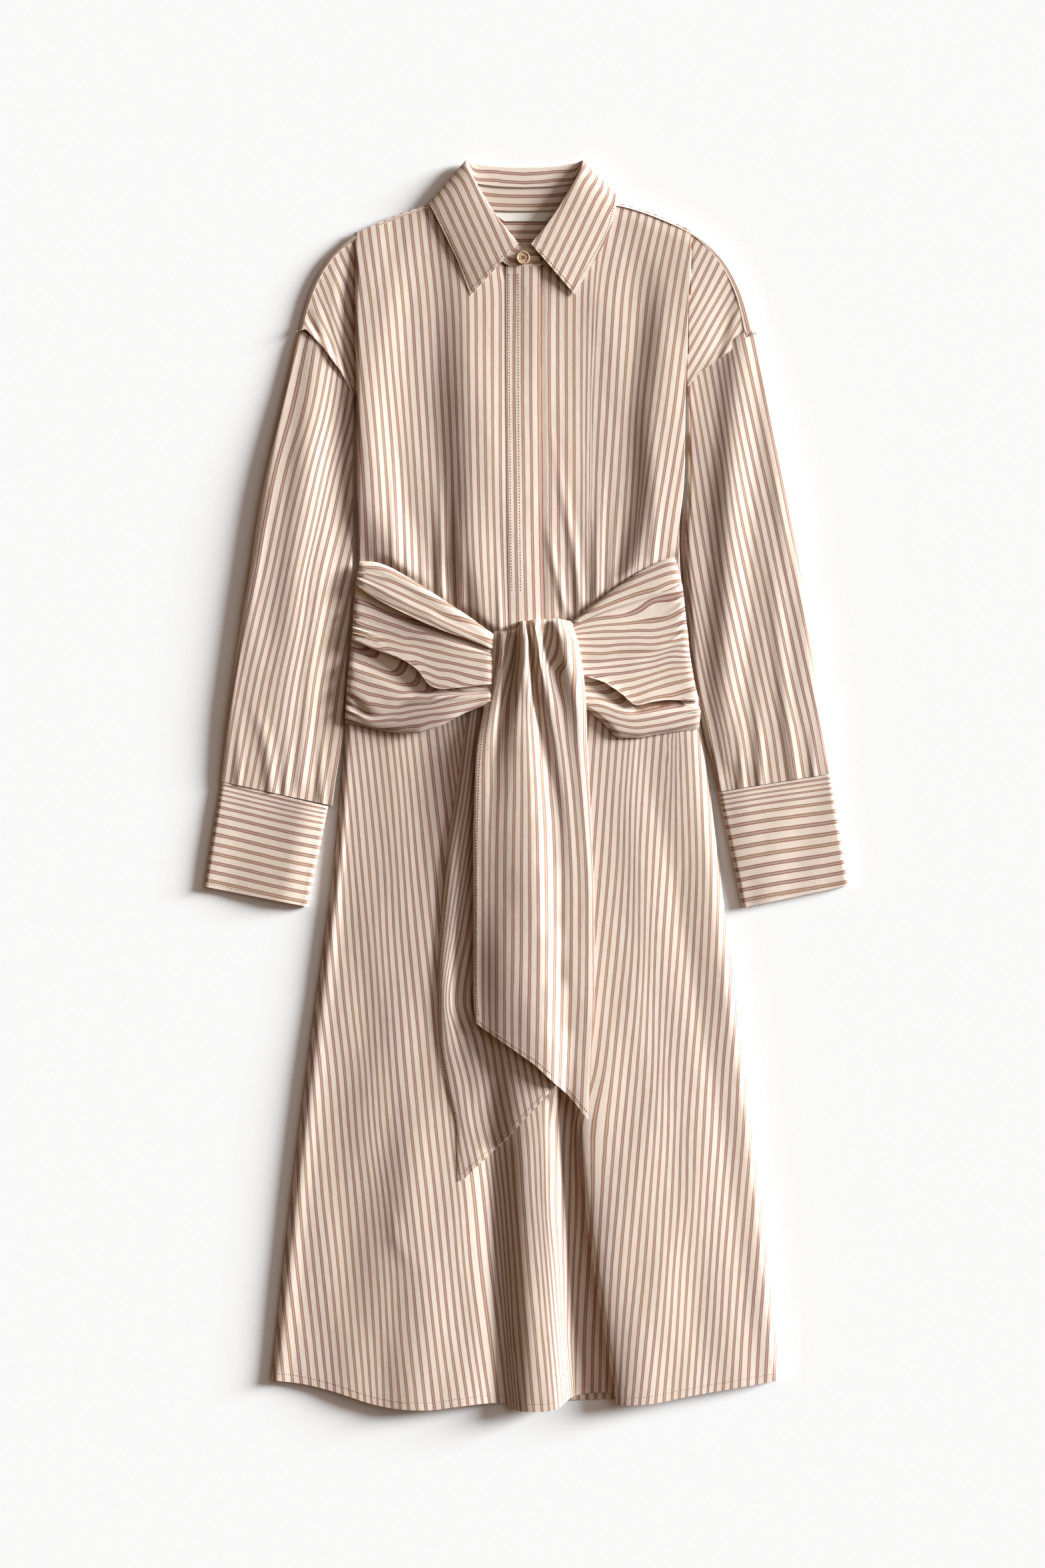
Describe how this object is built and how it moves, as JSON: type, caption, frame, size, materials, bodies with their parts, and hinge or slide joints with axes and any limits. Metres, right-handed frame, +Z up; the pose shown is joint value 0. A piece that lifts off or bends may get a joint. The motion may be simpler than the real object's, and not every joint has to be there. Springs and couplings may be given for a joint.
{
  "type": "shirt dress",
  "caption": "Long-sleeved striped shirt dress laid flat, with a pointed collar, front placket, deep cuffs, flared skirt and a sash knotted over the waist.",
  "frame": {"origin": "middle of the garment's outline, on the surface that it lies on", "axes": "+Y towards the collar, +X to the viewer's right, +Z up out of the garment's front"},
  "size_m": [0.6712, 1.3, 0.0267],
  "materials": {
    "striped_cotton": "crisp plain-weave cotton, matt, cream with narrow double mauve-brown stripes 9 mm apart",
    "sash_cotton": "the same striped cotton, gathered at the side seams and pleated into the knot",
    "label_tape": "smooth off-white woven tape, bare",
    "button": "satin tan resin with four sewing holes"
  },
  "bodies": {
    "root": {"back_yoke": "striped_cotton", "back_bodice": "striped_cotton", "back_skirt": "striped_cotton", "front_bodice_left": "striped_cotton", "front_bodice_right": "striped_cotton", "placket": "striped_cotton", "front_skirt": "striped_cotton", "sleeve_left": "striped_cotton", "sleeve_right": "striped_cotton", "cuff_left": "striped_cotton", "cuff_right": "striped_cotton", "collar_stand": "striped_cotton", "collar": "striped_cotton", "sash_left": "sash_cotton", "sash_right": "sash_cotton", "tie_back": "sash_cotton", "tie_front": "sash_cotton", "neck_label": "label_tape", "button": "button"}
  },
  "joints": []
}
